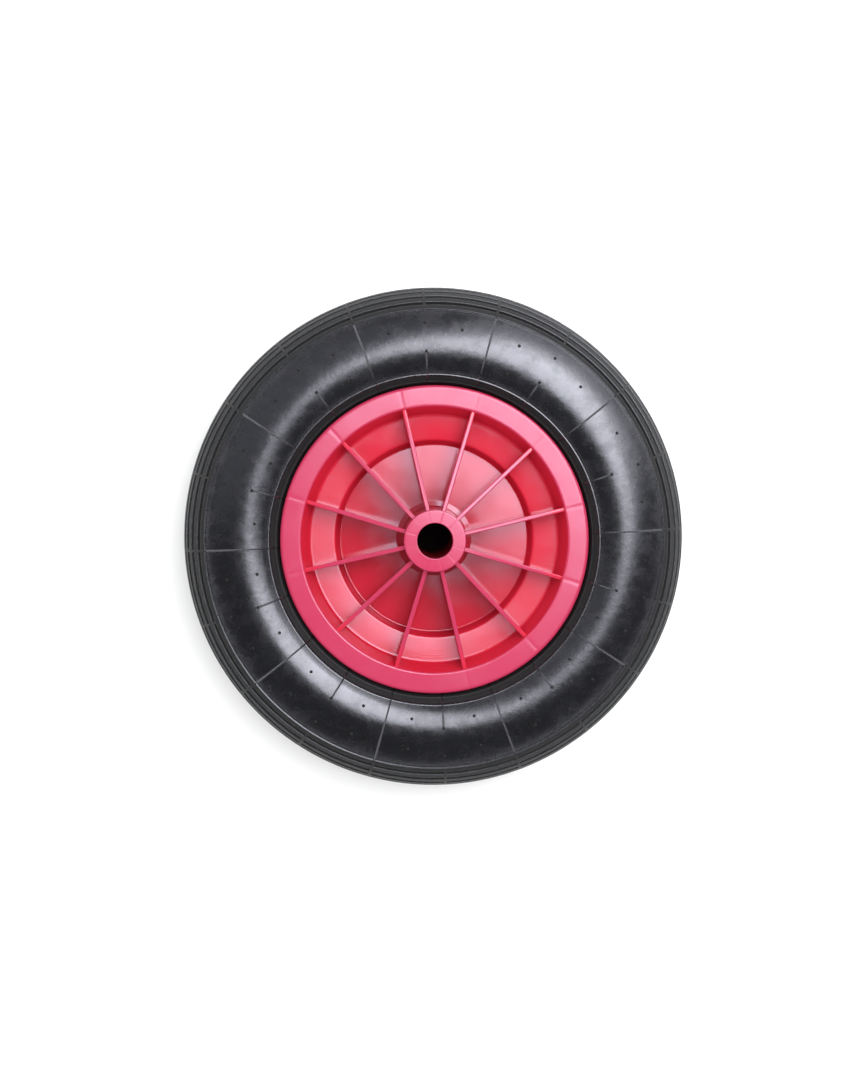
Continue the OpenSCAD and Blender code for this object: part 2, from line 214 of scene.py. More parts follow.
def rib_outline(rim, face):
    """A rib's outline from the hub to the foot of the ring, on the outer or the inner face."""
    hub = rim.hub_radius / MM
    if face == OUTER:
        return [(hub - 2, 1.6), (67.8, 3), (70.6, 11), (91.2, 13), (95.4, 31), (hub - 2, 40)]
    return [(hub - 2, 1.6), (71.4, 3), (74.2, 11), (90.6, 13), (95.4, -31), (hub - 2, -40)]


class TyreSection:
    """The tyre's outer curve: the crown's ellipse with its ribs, the sidewall, and the turn behind the flange."""

    TREAD_HEIGHT = 2.4
    RIB_PITCH = 6.9
    RIB_WIDTH = 3.8
    SIDE_RIBS = 6
    SHOULDER = 0.9  # the last rib stands this far above the sidewall
    SIDE_RUN = math.radians(24)
    SIDE_STOP = math.radians(112)

    def __init__(self, tyre, rim):
        seat = rim.seat_radius / MM
        self.seat = seat
        self.flange = seat + 7.2
        self.widest = seat + 0.44 * (tyre.radius / MM - seat)
        self.a = tyre.radius / MM - self.widest - self.TREAD_HEIGHT
        self.b = tyre.half_width / MM
        self.step = self.RIB_PITCH / self.a
        self.end = (self.SIDE_RIBS - 0.5) * self.step
        self.side_from = self.end + (self.RIB_WIDTH / 2 + self.SHOULDER * 0.3) / self.a
        self.low_from = self.on_ellipse(self.a, self.b, self.SIDE_STOP)
        self.low_to = Vector((self.flange + 0.5, 29.8))

    def on_ellipse(self, a, b, t):
        return Vector((self.widest + a * math.cos(t), b * math.sin(t)))

    def crown(self, t, height=0.0):
        n = unit(Vector((math.cos(t) / self.a, math.sin(t) / self.b)))
        return self.on_ellipse(self.a, self.b, t) + n * height

    def lower(self, t, height=0.0):
        p = self.bezier(t)
        d = self.bezier(t + 0.001) - self.bezier(t - 0.001)
        return p + unit(Vector((-abs(d.y), abs(d.x)))) * height

    def bezier(self, t):
        a, d = self.low_from, self.low_to
        b, c = a + Vector((-4.5, -2.2)), d + Vector((1.5, 5))
        return (1 - t) ** 3 * a + 3 * t * (1 - t) ** 2 * b + 3 * t * t * (1 - t) * c + t**3 * d

    def sidewall(self, degrees, height=0.0):
        """A point on the outer surface. Past the ellipse's end, 40 degrees lead down to the rim."""
        t = math.radians(degrees)
        if t <= self.SIDE_STOP:
            lift = (self.TREAD_HEIGHT - self.SHOULDER) * (1 - min(1, (t - self.side_from) / self.SIDE_RUN)) ** 2
            return self.crown(t, lift + height)
        return self.lower((t - self.SIDE_STOP) / math.radians(40), height)

    def is_dull(self, face, verts):
        """The tread and the bead are dull. Their narrow rubbed edges shine as the sidewall does."""
        spots = [verts[i].co / MM for i in face.vertices]
        across = {(round(math.hypot(p.x, p.y), 3), round(p.z, 3)) for p in spots}
        radius = sum(math.hypot(p.x, p.y) for p in spots) / len(spots)
        height = abs(sum(p.z for p in spots)) / len(spots)
        low, high = (min(c[i] for c in across) for i in (0, 1)), (max(c[i] for c in across) for i in (0, 1))
        span = math.dist(tuple(low), tuple(high))
        shoulder = self.crown(self.side_from, 0).x
        bead = self.lower(0.36)
        if radius > shoulder + 1.3:
            return 1 if span > 0.25 else 0
        return 1 if radius < bead.x and height < bead.y else 0

    def half_outline(self):
        foot = (self.RIB_WIDTH / 2 + self.TREAD_HEIGHT * 0.3) / self.a
        top = self.RIB_WIDTH / 2 / self.a
        pts = []
        for k in range(self.SIDE_RIBS):
            t = (k + 0.5) * self.step
            pts += [(*self.crown(t - foot), 0.8), (*self.crown(t - top, self.TREAD_HEIGHT), 0.4)]
            pts.append((*self.crown(t + top, self.TREAD_HEIGHT), 0.4))
            if k < self.SIDE_RIBS - 1:
                pts.append((*self.crown(t + foot), 0.8))
        first, stop = math.degrees(self.side_from), math.degrees(self.SIDE_STOP)
        pts += [(*self.sidewall(first + (stop - first) * i / 34), 0.3 if i == 0 else 0) for i in range(35)]
        for i in range(1, 31):
            t = i / 30
            ridge = max(math.exp(-(((t - at) / 0.022) ** 2)) for at in (0.34, 0.70))
            pts.append((*self.lower(t, 0.7 * ridge), 0))
        seat = self.seat
        pts += [
            (self.flange - 0.2, 29.35, 0), (seat + 2, 29.35, 1), (seat + 0.45, 27.75, 0.5), (seat + 0.15, 21.6, 0.4),
            (seat + 0.95, 20.55, 0.4), (seat + 6.6, 22.35, 0.8),
        ]
        pts += [(*self.on_ellipse(self.a - 7, self.b - 4.5, math.radians(118 * (1 - i / 9))), 0) for i in range(10)]
        return pts


# ---- mesh helpers


def outline_edges(bm, points, closed=True):
    """Puts (radius, height) points in the XZ plane and joins them by edges."""
    verts = [bm.verts.new((p[0] * MM, 0.0, p[1] * MM)) for p in points]
    pairs = zip(verts, verts[1:] + (verts[:1] if closed else []))
    return verts + [bm.edges.new(pair) for pair in pairs]


def turn_whole(bm, geom, steps):
    bmesh.ops.spin(
        bm, geom=geom, cent=(0, 0, 0), axis=(0, 0, 1), dvec=(0, 0, 0), angle=math.tau, steps=steps, use_merge=True
    )
    bmesh.ops.remove_doubles(bm, verts=bm.verts, dist=1e-6)
    bmesh.ops.recalc_face_normals(bm, faces=bm.faces)


def repeat_round(bm, count, first=0.0):
    """Copies what the mesh holds round the axle, and turns it all by the first angle."""
    source = bm.verts[:] + bm.edges[:] + bm.faces[:]
    for i in range(1, count):
        made = bmesh.ops.duplicate(bm, geom=source)["geom"]
        verts = [g for g in made if isinstance(g, bmesh.types.BMVert)]
        bmesh.ops.rotate(bm, verts=verts, cent=(0, 0, 0), matrix=Matrix.Rotation(math.tau * i / count, 3, "Z"))
    bmesh.ops.rotate(bm, verts=bm.verts, cent=(0, 0, 0), matrix=Matrix.Rotation(first, 3, "Z"))


def both_faces(bm):
    """Mirrors the mesh to the wheel's other face."""
    source = bm.verts[:] + bm.edges[:] + bm.faces[:]
    made = bmesh.ops.duplicate(bm, geom=source)["geom"]
    verts = [g for g in made if isinstance(g, bmesh.types.BMVert)]
    faces = [g for g in made if isinstance(g, bmesh.types.BMFace)]
    bmesh.ops.scale(bm, verts=verts, vec=(1, 1, -1))
    bmesh.ops.reverse_faces(bm, faces=faces)


def piece(name, bm, material, body="wheel", smooth_angle=40.0):
    """Makes the object, shades it smooth up to the angle, and lets it ride on its body."""
    mesh = bpy.data.meshes.new(name)
    bm.to_mesh(mesh)
    bm.free()
    mesh.shade_smooth()
    mesh.set_sharp_from_angle(angle=math.radians(smooth_angle))
    mesh.materials.append(material)
    obj = bpy.data.objects.new(name, mesh)
    bpy.context.scene.collection.objects.link(obj)
    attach(obj, body)
    return obj


# ---- materials


def srgb(code):
    """An sRGB hex colour as a linear one with alpha."""
    parts = [int(code[i : i + 2], 16) / 255 for i in (1, 3, 5)]
    return (*[c / 12.92 if c <= 0.04045 else ((c + 0.055) / 1.055) ** 2.4 for c in parts], 1.0)


def add(tree, kind, sockets=None, **settings):
    """Adds a node, sets its settings, and gives its sockets values or links to other nodes' outputs."""
    made = tree.nodes.new(kind)
    for key, value in settings.items():
        setattr(made, key, value)
    for key, value in (sockets or {}).items():
        if isinstance(value, bpy.types.NodeSocket):
            tree.links.new(value, made.inputs[key])
        else:
            made.inputs[key].default_value = value
    return made


def new_material(name):
    mat = bpy.data.materials.new(name)
    mat.use_nodes = True
    mat.node_tree.nodes.clear()
    return mat, mat.node_tree


def moulded_polypropylene(rim):
    """Injection-moulded polypropylene, dyed right through: a clear red with a soft gloss, slightly
    wavy where the wall sank over the ribs, with fine mould grain and a few rubbed patches."""
    mat, tree = new_material("moulded red polypropylene")
    place = add(tree, "ShaderNodeTexCoord").outputs["Object"]
    axes = add(tree, "ShaderNodeSeparateXYZ", {"Vector": place})
    # sink lines: the angle round the axle, folded so that it is 0 over each rib
    angle = add(tree, "ShaderNodeMath", {0: axes.outputs["Y"], 1: axes.outputs["X"]}, operation="ARCTAN2")
    turns = add(tree, "ShaderNodeMath", {0: angle.outputs[0], 1: rim.rib_count / math.tau}, operation="MULTIPLY")
    fold = add(tree, "ShaderNodeMath", {0: turns.outputs[0], 1: 0.5}, operation="PINGPONG")
    off_rib = add(tree, "ShaderNodeMath", {0: 0.5, 1: fold.outputs[0]}, operation="SUBTRACT")
    sink = add(
        tree, "ShaderNodeMapRange", {"Value": off_rib.outputs[0], "From Min": 0.0, "From Max": 0.045},
        interpolation_type="SMOOTHSTEP",
    )
    upper = add(
        tree, "ShaderNodeMapRange", {"Value": axes.outputs["Z"], "From Min": 0.0325, "From Max": 0.0339},
        interpolation_type="SMOOTHSTEP",
    )
    sink_on_ring = add(tree, "ShaderNodeMath", {0: upper.outputs[0], 1: rim.sink_depth}, operation="MULTIPLY")
    # mould grain of 0.25 mm and a wave of 14 mm from the wall's cooling
    grain = add(tree, "ShaderNodeTexNoise", {"Vector": place, "Scale": 1 / metres(0.6), "Detail": 3.0, "Roughness": 0.6})
    wave = add(tree, "ShaderNodeTexNoise", {"Vector": place, "Scale": 1 / metres(26.0), "Detail": 1.0})
    wavy = add(
        tree, "ShaderNodeBump", {"Height": wave.outputs["Fac"], "Strength": 1.0, "Distance": metres(0.1)}
    )
    sunk = add(
        tree, "ShaderNodeBump",
        {"Height": sink.outputs[0], "Strength": 1.0, "Distance": sink_on_ring.outputs[0], "Normal": wavy.outputs[0]},
    )
    # handling marks: patches of a few centimetres where the gloss is rubbed
    rub = add(tree, "ShaderNodeTexNoise", {"Vector": place, "Scale": 1 / metres(35.0), "Detail": 5.0, "Roughness": 0.65})
    # the mould's turning marks, 1.8 mm apart, which show in those patches
    turning = add(
        tree, "ShaderNodeTexWave",
        {"Vector": place, "Scale": math.tau / 20 / metres(1.8), "Distortion": 0.6, "Detail": 2.0},
        wave_type="RINGS", rings_direction="Z",
    )
    depth = add(
        tree, "ShaderNodeMapRange",
        {"Value": rub.outputs["Fac"], "From Min": 0.45, "From Max": 0.65, "To Max": metres(0.012)},
    )
    turned = add(
        tree, "ShaderNodeBump",
        {"Height": turning.outputs["Fac"], "Strength": 1.0, "Distance": depth.outputs[0], "Normal": sunk.outputs[0]},
    )
    skin = add(
        tree, "ShaderNodeBump",
        {"Height": grain.outputs["Fac"], "Strength": 0.35, "Distance": metres(0.02), "Normal": turned.outputs[0]},
    )
    rough = add(
        tree, "ShaderNodeMapRange",
        {"Value": rub.outputs["Fac"], "From Min": 0.35, "From Max": 0.75, "To Min": rim.roughness - 0.02,
         "To Max": rim.roughness + 0.06},
    )
    flow = add(tree, "ShaderNodeTexNoise", {"Vector": place, "Scale": 1 / metres(48.0), "Detail": 2.0})
    base = (*rim.colour, 1.0)
    deep = (rim.colour[0] * 0.92, rim.colour[1] * 0.7, rim.colour[2] * 0.8, 1.0)
    dyed = add(
        tree, "ShaderNodeMix", {"Factor": flow.outputs["Fac"], "A": deep, "B": base}, data_type="RGBA"
    )
    # painted sheen: the outermost faces, which see the most of the room, are painted pinker in place of its reflection;
    # they are also rubbed a little duller
    height = add(tree, "ShaderNodeMath", {0: axes.outputs["Z"]}, operation="ABSOLUTE")
    open_top_sheen_and_wear = add(
        tree, "ShaderNodeMapRange",
        {"Value": height.outputs[0], "From Min": 0.031, "From Max": 0.0335, "To Max": 0.85},
    )
    duller = add(tree, "ShaderNodeMath", {0: open_top_sheen_and_wear.outputs[0], 1: 0.05, 2: rough.outputs[0]}, operation="MULTIPLY_ADD")
    # painted sheen: the dye turns pinker on the outermost faces
    dye_with_painted_sheen = add(
        tree, "ShaderNodeMix",
        {"Factor": open_top_sheen_and_wear.outputs[0], "A": dyed.outputs["Result"], "B": srgb("#a63050")}, data_type="RGBA",
    )
    shader = add(
        tree, "ShaderNodeBsdfPrincipled",
        {"Base Color": dye_with_painted_sheen.outputs["Result"], "Roughness": duller.outputs[0], "IOR": 1.49,
         "Specular IOR Level": 0.8, "Specular Tint": srgb("#ece8ff"), "Normal": skin.outputs[0]},
    )
    add(tree, "ShaderNodeOutputMaterial", {"Surface": shader.outputs[0]})
    return mat


def moulded_tyre_rubber(tyre):
    """Carbon-black tyre rubber as it leaves the mould: nearly black, with a broad cold sheen that is
    cloudy where mould release has dried and uneven where the carcass cords show through."""
    mat, tree = new_material("moulded tyre rubber")
    place = add(tree, "ShaderNodeTexCoord").outputs["Object"]
    bloom = add(tree, "ShaderNodeTexNoise", {"Vector": place, "Scale": 1 / metres(38.0), "Detail": 6.0, "Roughness": 0.6})
    cloud = add(tree, "ShaderNodeTexNoise", {"Vector": place, "Scale": 1 / metres(11.0), "Detail": 7.0, "Roughness": 0.7})
    # blasted mould skin, 1 mm between the pits, and low waves 8 mm apart over the cords
    pits = add(tree, "ShaderNodeTexNoise", {"Vector": place, "Scale": 1 / metres(1.2), "Detail": 3.0, "Roughness": 0.7})
    wave = add(tree, "ShaderNodeTexNoise", {"Vector": place, "Scale": 1 / metres(8.0), "Detail": 3.0})
    colour = add(
        tree, "ShaderNodeMix",
        {"Factor": bloom.outputs["Fac"], "A": srgb("#08080a"), "B": srgb("#131417")}, data_type="RGBA",
    )
    rough = add(
        tree, "ShaderNodeMapRange",
        {"Value": cloud.outputs["Fac"], "From Min": 0.42, "From Max": 0.66, "To Min": tyre.roughness,
         "To Max": tyre.roughness + 0.11},
    )
    slow = add(tree, "ShaderNodeBump", {"Height": wave.outputs["Fac"], "Strength": 1.0, "Distance": metres(0.13)})
    skin = add(
        tree, "ShaderNodeBump",
        {"Height": pits.outputs["Fac"], "Strength": 0.6, "Distance": metres(0.06), "Normal": slow.outputs[0]},
    )
    shader = add(
        tree, "ShaderNodeBsdfPrincipled",
        {"Base Color": colour.outputs["Result"], "Roughness": rough.outputs[0], "IOR": 1.55,
         "Specular IOR Level": 1.0, "Specular Tint": srgb("#f3f3ff"), "Normal": skin.outputs[0]},
    )
    add(tree, "ShaderNodeOutputMaterial", {"Surface": shader.outputs[0]})
    return mat


def dull_tyre_rubber(name, dark, light, roughness):
    """Tyre rubber without the mould's polish: the tread and the bead, or a torn vent, dusty and matt."""
    mat, tree = new_material(name)
    place = add(tree, "ShaderNodeTexCoord").outputs["Object"]
    dust = add(tree, "ShaderNodeTexNoise", {"Vector": place, "Scale": 1 / metres(22.0), "Detail": 6.0, "Roughness": 0.65})
    pits = add(tree, "ShaderNodeTexNoise", {"Vector": place, "Scale": 1 / metres(1.0), "Detail": 3.0, "Roughness": 0.7})
    colour = add(
        tree, "ShaderNodeMix", {"Factor": dust.outputs["Fac"], "A": srgb(dark), "B": srgb(light)}, data_type="RGBA"
    )
    rough = add(
        tree, "ShaderNodeMapRange", {"Value": pits.outputs["Fac"], "To Min": roughness - 0.1, "To Max": roughness + 0.1}
    )
    skin = add(tree, "ShaderNodeBump", {"Height": pits.outputs["Fac"], "Strength": 0.6, "Distance": metres(0.08)})
    shader = add(
        tree, "ShaderNodeBsdfPrincipled",
        {"Base Color": colour.outputs["Result"], "Roughness": rough.outputs[0], "IOR": 1.52,
         "Specular IOR Level": 0.25, "Normal": skin.outputs[0]},
    )
    add(tree, "ShaderNodeOutputMaterial", {"Surface": shader.outputs[0]})
    return mat


def small_rubber(name, dark, light, roughness):
    """Moulded rubber of a small piece: matt, with a dusty bloom in patches of a few millimetres."""
    mat, tree = new_material(name)
    place = add(tree, "ShaderNodeTexCoord").outputs["Object"]
    bloom = add(tree, "ShaderNodeTexNoise", {"Vector": place, "Scale": 1 / metres(9.0), "Detail": 5.0})
    pits = add(tree, "ShaderNodeTexNoise", {"Vector": place, "Scale": 1 / metres(0.6), "Detail": 2.0})
    colour = add(
        tree, "ShaderNodeMix", {"Factor": bloom.outputs["Fac"], "A": srgb(dark), "B": srgb(light)}, data_type="RGBA"
    )
    skin = add(tree, "ShaderNodeBump", {"Height": pits.outputs["Fac"], "Strength": 0.5, "Distance": metres(0.04)})
    shader = add(
        tree, "ShaderNodeBsdfPrincipled",
        {"Base Color": colour.outputs["Result"], "Roughness": roughness, "IOR": 1.52, "Normal": skin.outputs[0]},
    )
    add(tree, "ShaderNodeOutputMaterial", {"Surface": shader.outputs[0]})
    return mat


def turned_brass(name, bright, dull, pitch, depth):
    """Turned brass: a warm yellow metal with lathe rings or a cut thread across its axis, and a light
    brown tarnish."""
    mat, tree = new_material(name)
    place = add(tree, "ShaderNodeTexCoord").outputs["Object"]
    rings = add(
        tree, "ShaderNodeTexWave", {"Vector": place, "Scale": math.tau / 20 / metres(pitch)},
        wave_type="BANDS", bands_direction="Y",
    )
    stain = add(tree, "ShaderNodeTexNoise", {"Vector": place, "Scale": 1 / metres(5.0), "Detail": 5.0})
    colour = add(
        tree, "ShaderNodeMix", {"Factor": stain.outputs["Fac"], "A": srgb(bright), "B": srgb(dull)}, data_type="RGBA"
    )
    rough = add(
        tree, "ShaderNodeMapRange", {"Value": stain.outputs["Fac"], "To Min": 0.22, "To Max": 0.48}
    )
    skin = add(tree, "ShaderNodeBump", {"Height": rings.outputs["Fac"], "Strength": 1.0, "Distance": metres(depth)})
    shader = add(
        tree, "ShaderNodeBsdfPrincipled",
        {"Base Color": colour.outputs["Result"], "Metallic": 1.0, "Roughness": rough.outputs[0],
         "Normal": skin.outputs[0]},
    )
    add(tree, "ShaderNodeOutputMaterial", {"Surface": shader.outputs[0]})
    return mat


def drawn_spring_steel():
    """Drawn stainless spring wire: a clean grey metal with faint draw marks."""
    mat, tree = new_material("drawn spring steel")
    place = add(tree, "ShaderNodeTexCoord").outputs["Object"]
    marks = add(tree, "ShaderNodeTexNoise", {"Vector": place, "Scale": 1 / metres(0.3), "Detail": 2.0})
    rough = add(tree, "ShaderNodeMapRange", {"Value": marks.outputs["Fac"], "To Min": 0.2, "To Max": 0.4})
    shader = add(
        tree, "ShaderNodeBsdfPrincipled",
        {"Base Color": srgb("#c4c6c8"), "Metallic": 1.0, "Roughness": rough.outputs[0]},
    )
    add(tree, "ShaderNodeOutputMaterial", {"Surface": shader.outputs[0]})
    return mat


def moulded_polyethylene():
    """Moulded black polyethylene of the valve cap: waxy, softly shining, scuffed grey in small patches."""
    mat, tree = new_material("moulded black polyethylene")
    place = add(tree, "ShaderNodeTexCoord").outputs["Object"]
    scuff = add(tree, "ShaderNodeTexNoise", {"Vector": place, "Scale": 1 / metres(2.5), "Detail": 6.0, "Roughness": 0.7})
    shade = add(
        tree, "ShaderNodeMapRange", {"Value": scuff.outputs["Fac"], "From Min": 0.52, "From Max": 0.72}
    )
    colour = add(
        tree, "ShaderNodeMix",
        {"Factor": shade.outputs[0], "A": srgb("#151516"), "B": srgb("#2d2d2f")}, data_type="RGBA",
    )
    skin = add(tree, "ShaderNodeBump", {"Height": scuff.outputs["Fac"], "Strength": 0.4, "Distance": metres(0.04)})
    shader = add(
        tree, "ShaderNodeBsdfPrincipled",
        {"Base Color": colour.outputs["Result"], "Roughness": 0.46, "IOR": 1.5, "Normal": skin.outputs[0]},
    )
    add(tree, "ShaderNodeOutputMaterial", {"Surface": shader.outputs[0]})
    return mat


# ---- operators


class WHEEL_OT_rim(bpy.types.Operator):
    """Turn the one-piece moulded rim and set its ribs on both faces"""

    bl_idname = "wheel.rim"
    bl_label = "Moulded rim"

    def execute(self, context):
        rim = context.scene.wheel_rim
        bm = bmesh.new()
        turn_whole(bm, outline_edges(bm, rim_outline(rim)), steps=240)
        ribs = bmesh.new()
        for face in (OUTER, INNER):
            points = rib_outline(rim, face)
            before = set(ribs.verts)
            corners = [ribs.verts.new((r * MM, -rim.rib_thickness / 2, z * MM)) for r, z in points]
            side = ribs.faces.new(corners)
            grown = bmesh.ops.extrude_face_region(ribs, geom=[side])["geom"]
            far = [g for g in grown if isinstance(g, bmesh.types.BMVert)]
            bmesh.ops.translate(ribs, verts=far, vec=(0, rim.rib_thickness, 0))
            top = {z * MM for _, z in points[-2:]}
            made = [v for v in ribs.verts if v not in before]
            rounded = [
                e
                for v in made
                for e in v.link_edges
                if all(min(abs(p.co.z - t) for t in top) < 1e-7 for p in e.verts)
                and abs(e.verts[0].co.y - e.verts[1].co.y) < 1e-7
            ]
            bmesh.ops.bevel(
                ribs, geom=list(set(rounded)), offset=rim.edge_round, offset_type="OFFSET", affect="EDGES", segments=4,
                profile=0.5, material=-1, clamp_overlap=True,
            )
        bmesh.ops.recalc_face_normals(ribs, faces=ribs.faces)
        repeat_round(ribs, rim.rib_count, first=math.pi / rim.rib_count)
        kept = bpy.data.meshes.new("ribs")
        ribs.to_mesh(kept)
        ribs.free()
        bm.from_mesh(kept)
        bpy.data.meshes.remove(kept)
        obj = piece("moulded_rim", bm, moulded_polypropylene(rim))
        flat = obj.modifiers.new("flat faces stay flat", "WEIGHTED_NORMAL")
        flat.keep_sharp = True
        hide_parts("rim")
        return {"FINISHED"}


class WHEEL_OT_tyre(bpy.types.Operator):
    """Turn the ribbed tyre, with its sidewalls and beads"""

    bl_idname = "wheel.tyre"
    bl_label = "Ribbed tyre"

    def execute(self, context):
        scene = context.scene
        section = TyreSection(scene.wheel_tyre, scene.wheel_rim)
        half = section.half_outline()
        whole = soften(half + [(r, -z, rad) for r, z, rad in reversed(half[:-1])], steps=3)
        bm = bmesh.new()
        turn_whole(bm, outline_edges(bm, whole), steps=216)
        obj = piece("ribbed_tyre", bm, moulded_tyre_rubber(scene.wheel_tyre), smooth_angle=50)
        obj.data.materials.append(dull_tyre_rubber("dull tread rubber", "#0f0f11", "#18181a", 0.55))
        for face in obj.data.polygons:
            face.material_index = section.is_dull(face, obj.data.vertices)
        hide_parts("tyre")
        return {"FINISHED"}


class WHEEL_OT_tyre_marks(bpy.types.Operator):
    """Raise the fine lines, pips and cross bars that the mould's vents leave on the tyre"""

    bl_idname = "wheel.tyre_marks"
    bl_label = "Mould marks"

    LONG, SHORT, RIM_END = 56.0, 96.0, 150.0  # degrees on the section where the lines start and stop

    def ridge(self, bm, point, spots, width, rise):
        """Spins a path through a small angle, lifts its middle and gives it depth, which makes a narrow raised line."""
        path = [point(t, -0.15) for t in spots]
        angle = width / (sum(p[0] for p in path) / len(path))
        verts = outline_edges(bm, path, closed=False)
        columns = [g for g in verts if isinstance(g, bmesh.types.BMVert)]
        before = set(bm.verts)
        bmesh.ops.rotate(bm, verts=columns, cent=(0, 0, 0), matrix=Matrix.Rotation(-angle / 2, 3, "Z"))
        bmesh.ops.spin(bm, geom=verts, cent=(0, 0, 0), axis=(0, 0, 1), dvec=(0, 0, 0), angle=angle, steps=2)
        middle = [v for v in bm.verts if v not in before and abs(v.co.y) < 1e-7]
        for t in spots:
            foot, top = (Vector((p[0], 0, p[1])) * MM for p in (point(t, -0.15), point(t, rise)))
            nearest = min(middle, key=lambda v: (v.co - foot).length)
            nearest.co = top
        faces = [f for f in bm.faces if all(v in columns or v not in before for v in f.verts)]
        bmesh.ops.recalc_face_normals(bm, faces=faces)
        if faces[0].normal.dot(middle[0].co - Vector((metres(136), 0, 0))) < 0:
            bmesh.ops.reverse_faces(bm, faces=faces)
        bmesh.ops.solidify(bm, geom=faces, thickness=metres(0.6))

    def execute(self, context):
        scene = context.scene
        tyre = scene.wheel_tyre
        section = TyreSection(tyre, scene.wheel_rim)
        rise = tyre.line_height / MM
        vents = dull_tyre_rubber("torn vent rubber", "#141414", "#262625", 0.6)
        bm = bmesh.new()
        for k, start in enumerate((self.LONG, self.SHORT)):
            one = bmesh.new()
            spots = [start + (self.RIM_END - start) * i / 34 for i in range(35)]
            self.ridge(one, section.sidewall, spots, 1.6, rise)
            repeat_round(one, tyre.line_count // 2, first=math.radians(4.4 + 18 * k))
            kept = bpy.data.meshes.new("lines")
            one.to_mesh(kept)
            one.free()
            bm.from_mesh(kept)
            bpy.data.meshes.remove(kept)
        both_faces(bm)
        lines = piece("tyre_mould_lines", bm, bpy.data.materials["moulded tyre rubber"], smooth_angle=60)

        # cross bars over the tread, 18 degrees apart
        bars = bmesh.new()
        across = [math.radians(14 + 39 * i / 16) for i in range(17)]
        self.ridge(bars, lambda t, h: section.crown(t, section.TREAD_HEIGHT + min(h, 0.12)), across, 1.9, 0.12)
        repeat_round(bars, tyre.line_count, first=math.radians(4.4))
        both_faces(bars)
        piece("tyre_cross_bars", bars, vents, smooth_angle=60)

        # pips beside the long lines, over the short ones, and at the short ones' ends
        pips = bmesh.new()
        for turn, degrees in ((8, 103.9), (-8, 103.9), (8, 74.2), (-8, 74.2), (18, 67.8), (18, 96.0), (0, 54.0)):
            r, z = section.sidewall(degrees, 0.0)
            place = Matrix.Rotation(math.radians(4.4 + turn), 4, "Z") @ Matrix.Translation((r * MM, 0, z * MM))
            bmesh.ops.create_icosphere(pips, subdivisions=2, radius=tyre.pip_radius, matrix=place)
        repeat_round(pips, tyre.line_count // 2)
        both_faces(pips)
        dots = piece("tyre_vent_pips", pips, vents)
        return {"FINISHED"}


class WHEEL_OT_valve(bpy.types.Operator):
    """Finish the valve's small pieces and the tube"""

    bl_idname = "wheel.valve"
    bl_label = "Valve"

    def execute(self, context):
        finishes = {
            "inner_tube": small_rubber("butyl tube rubber", "#141415", "#232325", 0.62),
            "valve_stem_rubber": small_rubber("moulded stem rubber", "#141415", "#262628", 0.5),
            "valve_core_gasket": small_rubber("red gasket rubber", "#6e1f18", "#8f2c22", 0.55),
            "valve_core_seal": small_rubber("black seal rubber", "#121213", "#1f1f20", 0.6),
            "valve_stem_tube": turned_brass("threaded brass", "#d9b46a", "#a98444", 0.794, 0.3),
            "valve_core_plug": turned_brass("turned core brass", "#dcb86e", "#b18c4a", 0.3, 0.004),
            "valve_core_spring": drawn_spring_steel(),
            "valve_cap": moulded_polyethylene(),
        }
        finishes["valve_cap_seal"] = finishes["valve_core_seal"]
        finishes["valve_core_barrel"] = finishes["valve_core_pin"] = finishes["valve_core_plug"]
        for name, mat in finishes.items():
            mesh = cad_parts[name].data
            mesh.materials.clear()
            mesh.materials.append(mat)
        self.spring(finishes["valve_core_spring"])
        return {"FINISHED"}

    def spring(self, steel):
        """Winds the core's spring over the length of the solid's spring. The real one shortens as the pin is pressed
        towards its fixed end; this mesh stays as wound.
        """
        low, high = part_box("valve_core_spring")
        wire, turns, steps = metres(0.16), 6, 20
        reach = high.y - low.y - 2 * wire
        axle_z, coil = (low.z + high.z) / 2, (high.x - low.x) / 2 - wire
        bm = bmesh.new()
        bmesh.ops.create_circle(bm, segments=8, radius=wire)
        stand = Matrix.Translation((coil, high.y - wire, axle_z))
        bmesh.ops.transform(bm, verts=bm.verts, matrix=stand)
        bmesh.ops.spin(
            bm, geom=bm.verts[:] + bm.edges[:], cent=(0, 0, axle_z), axis=(0, 1, 0), angle=math.tau * turns,
            dvec=(0, -reach / (turns * steps), 0), steps=turns * steps,
        )
        bmesh.ops.holes_fill(bm, edges=[e for e in bm.edges if e.is_boundary])
        bmesh.ops.recalc_face_normals(bm, faces=bm.faces)
        coiled = piece("valve_spring", bm, steel, smooth_angle=50)
        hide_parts("valve_core_spring")
        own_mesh(coiled)


